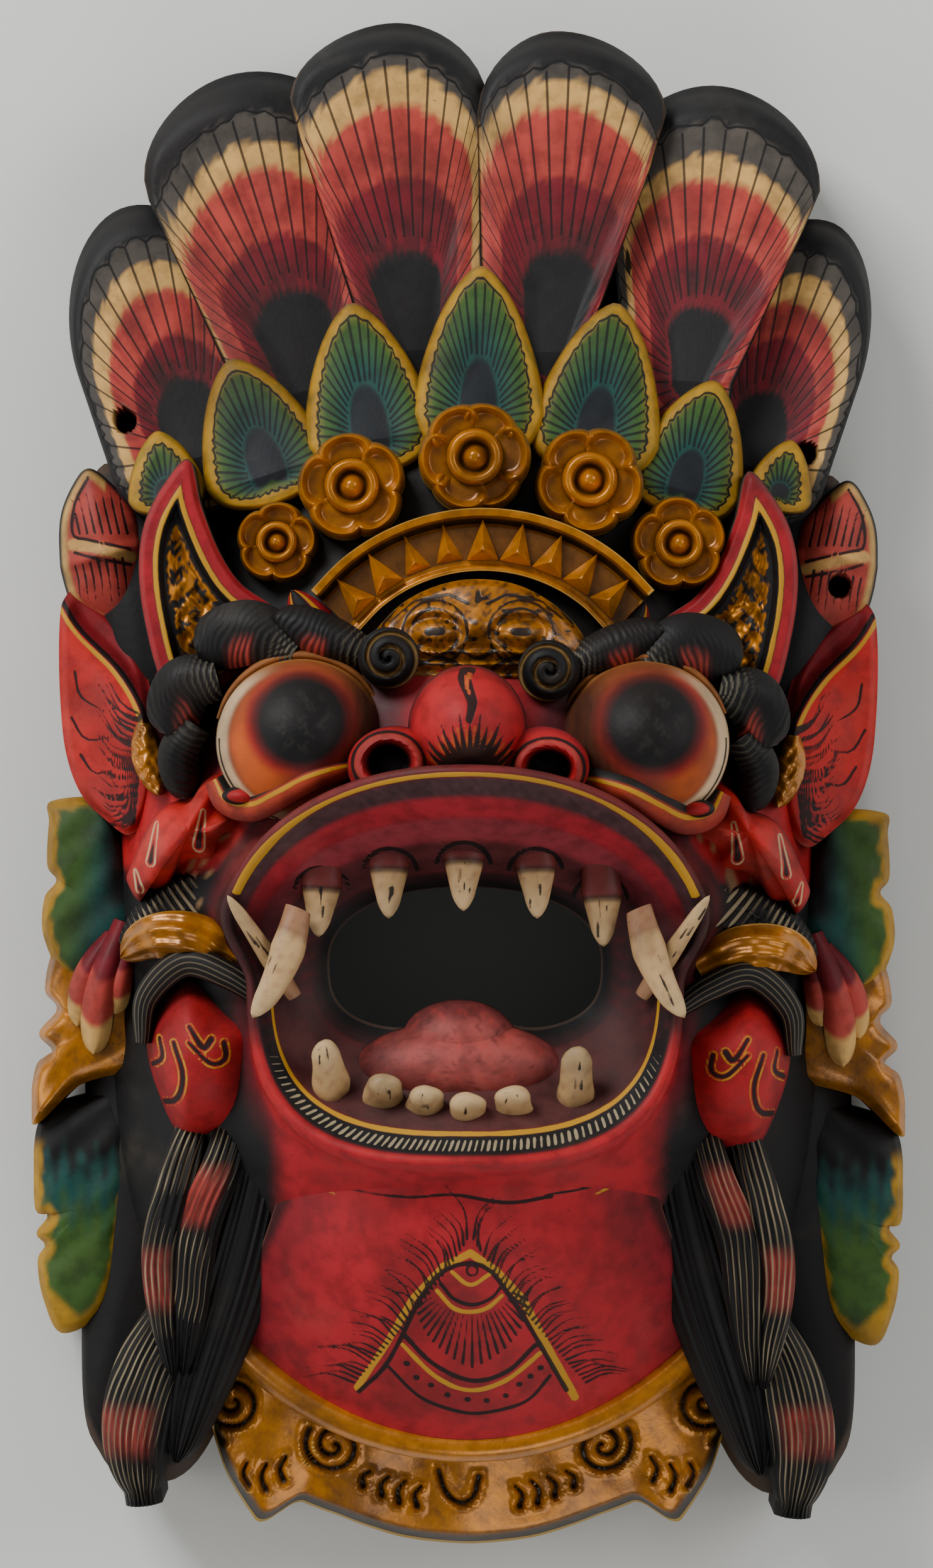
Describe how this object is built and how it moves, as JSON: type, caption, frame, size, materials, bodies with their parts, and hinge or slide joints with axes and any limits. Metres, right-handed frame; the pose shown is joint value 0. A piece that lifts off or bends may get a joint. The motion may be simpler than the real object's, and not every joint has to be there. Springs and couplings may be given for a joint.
{
  "type": "barong mask",
  "caption": "Carved and painted wooden barong mask: open-mouthed lion-like guardian with feather crown, tusks, gilded flowers and collar, hollow behind.",
  "frame": {"origin": "centre of the outline on the plane of the flat back rim", "axes": "+X to the viewer's right, +Y up to the crown, +Z out of the face, away from the back rim"},
  "size_m": [0.286, 0.5, 0.1519],
  "materials": {
    "painted_wood": "satin red, black and gold paint over wood, worn",
    "tooth_paint": "cream painted wood pegs with dark lines"
  },
  "bodies": {
    "root": {"mask": "painted_wood", "upper_tooth_1": "tooth_paint", "upper_tooth_2": "tooth_paint", "upper_tooth_3": "tooth_paint", "upper_tooth_4": "tooth_paint", "upper_tooth_5": "tooth_paint", "left_fang": "tooth_paint", "right_fang": "tooth_paint", "left_tusk": "tooth_paint", "right_tusk": "tooth_paint", "lower_tooth_1": "tooth_paint", "lower_tooth_2": "tooth_paint", "lower_tooth_3": "tooth_paint", "lower_tooth_4": "tooth_paint", "lower_tooth_5": "tooth_paint", "lower_tooth_6": "tooth_paint"}
  },
  "joints": []
}
